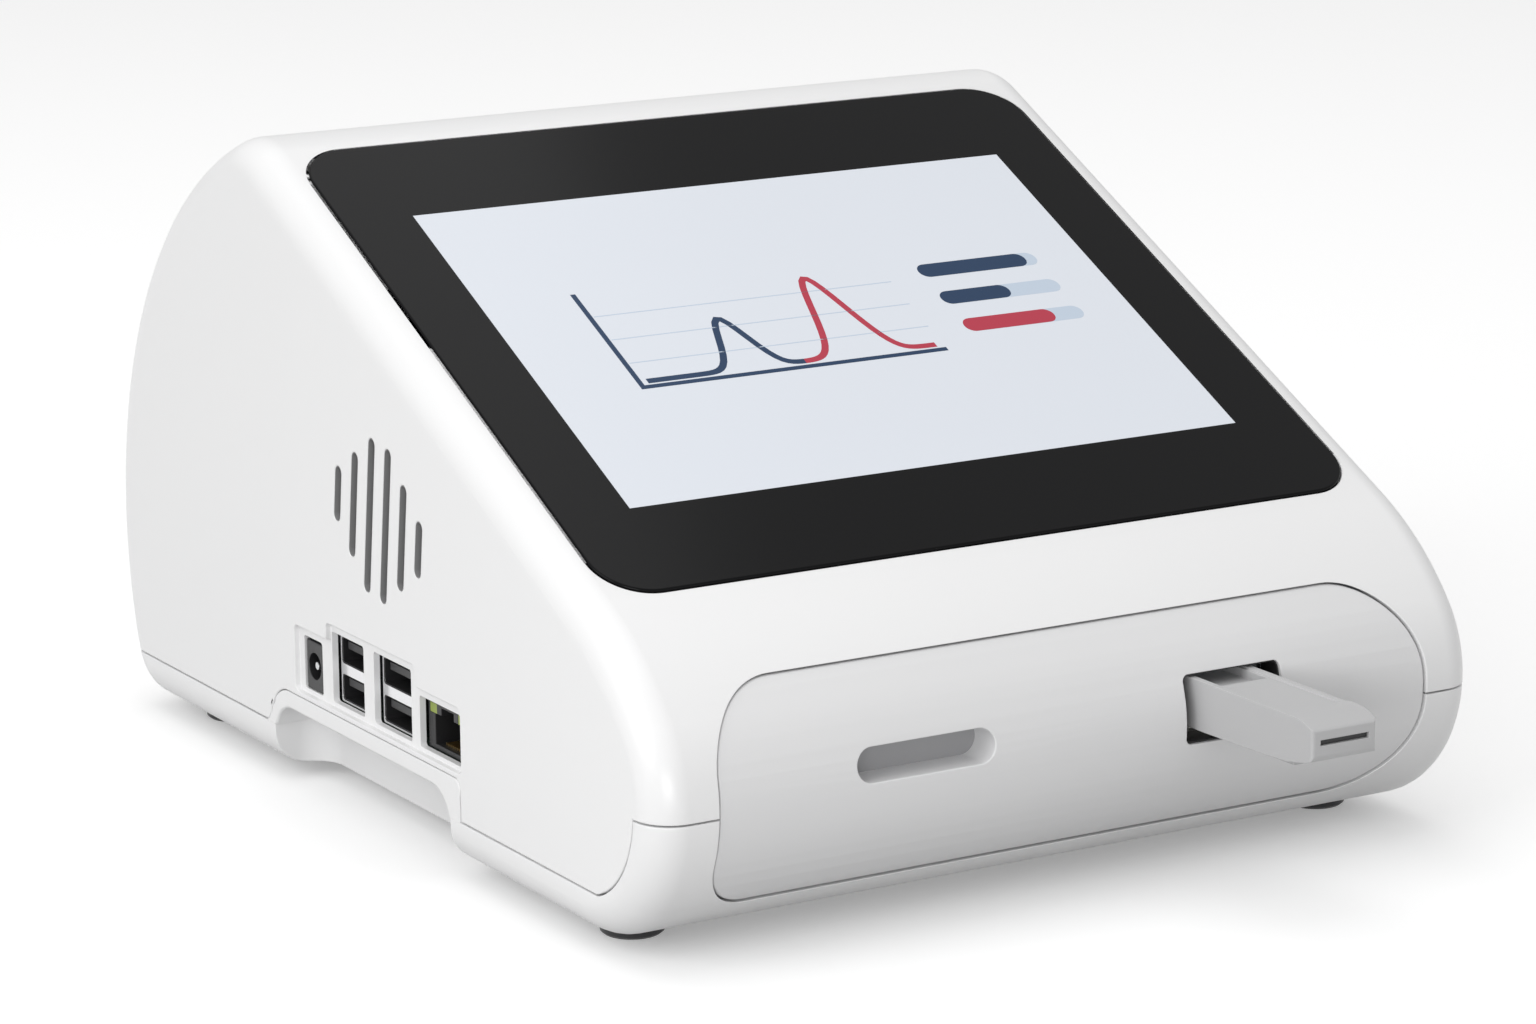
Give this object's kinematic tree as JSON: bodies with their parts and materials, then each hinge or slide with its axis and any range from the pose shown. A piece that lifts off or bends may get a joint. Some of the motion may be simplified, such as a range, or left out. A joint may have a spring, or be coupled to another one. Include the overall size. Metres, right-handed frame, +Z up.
{
  "type": "fluorescence immunoassay analyzer",
  "caption": "Bench reader with a sloped touch screen, a motor driven card tray at the front and sockets on the left.",
  "frame": {"origin": "middle of the footprint of the whole object with its tray out, on the surface that it stands on", "axes": "+Y from the front to the back, +Z up, +X to the right as seen by the user in front of it"},
  "size_m": [0.213, 0.3149, 0.1517],
  "materials": {
    "housing_white": "satin moulded shell",
    "panel_grey": "fine matt moulding",
    "tray_grey": "smooth matt moulding",
    "cover_glass": "polished",
    "border_black": "printed black under glass",
    "gasket_rubber": "foam tape",
    "screen": "lit panel",
    "sheet_steel": "zinc plated sheet",
    "screw_steel": "bright zinc",
    "gear_plastic": "natural acetal",
    "motor_grey": "dark motor can",
    "black_plastic": "moulded black",
    "rocker_black": "moulded black",
    "chassis_grey": "glass filled moulding",
    "lens_glass": "polished optics",
    "board_green": "solder mask",
    "socket_grey": "moulded grey",
    "standoff_brass": "turned",
    "sink_aluminium": "extruded",
    "shell_chrome": "nickel plated shell",
    "light_green": "light pipe",
    "speaker_paper": "pressed paper",
    "foot_rubber": "soft foot"
  },
  "bodies": {
    "case": {"upper_housing": "housing_white", "lower_housing": "housing_white", "recess_arch": "housing_white", "front_panel": "panel_grey", "cover_glass": "cover_glass", "border_print": "border_black", "glass_gasket": "gasket_rubber", "display_module": "screen", "display_bracket": "sheet_steel", "optics_bracket": "sheet_steel", "display_screws": "screw_steel", "motor_screws": "screw_steel", "chassis_screws": "screw_steel", "board_screws": "screw_steel", "foot_screws": "screw_steel", "housing_screws": "screw_steel", "dc_pin": "screw_steel", "tray_motor": "motor_grey", "home_sensor": "black_plastic", "optics_block": "black_plastic", "dc_jack": "black_plastic", "usb_insert_rear": "black_plastic", "usb_insert_front": "black_plastic", "network_jack": "black_plastic", "speaker_frame": "black_plastic", "power_switch": "black_plastic", "reader_chassis": "chassis_grey", "objective_lens": "lens_glass", "beam_splitter": "lens_glass", "emission_filter": "lens_glass", "excitation_lens": "lens_glass", "detector_board": "board_green", "lamp_board": "board_green", "chip_board": "board_green", "main_board": "board_green", "chip_reader": "socket_grey", "board_standoffs": "standoff_brass", "jack_contacts": "standoff_brass", "heat_sink": "sink_aluminium", "usb_shell_rear": "shell_chrome", "usb_shell_front": "shell_chrome", "jack_lights": "light_green", "speaker_cone": "speaker_paper", "foot_front_left": "foot_rubber", "foot_front_right": "foot_rubber", "foot_rear_left": "foot_rubber", "foot_rear_right": "foot_rubber"},
    "tray": {"card_tray": "tray_grey", "tray_rack": "gear_plastic"},
    "pinion": {"drive_pinion": "gear_plastic", "motor_shaft": "screw_steel"},
    "rocker": {"power_rocker": "rocker_black"}
  },
  "joints": [
    {"name": "tray_slide", "type": "slide", "parent": "case", "child": "tray", "axis": [0, -1, 0], "range_m": [-0.04, 0]},
    {"name": "pinion_spin", "type": "hinge", "parent": "case", "child": "pinion", "pos_m": [0.038, -0.05449, 0.02273], "axis": [1, 0, 0], "range_deg": [-256, 1]},
    {"name": "rocker_tilt", "type": "hinge", "parent": "case", "child": "rocker", "pos_m": [-0.062, 0.15199, 0.05], "axis": [1, 0, 0], "range_deg": [0, 16]}
  ],
  "couplings": [
    {"joint": "pinion_spin", "follows": "tray_slide", "rad_per_m": 111.11}
  ]
}
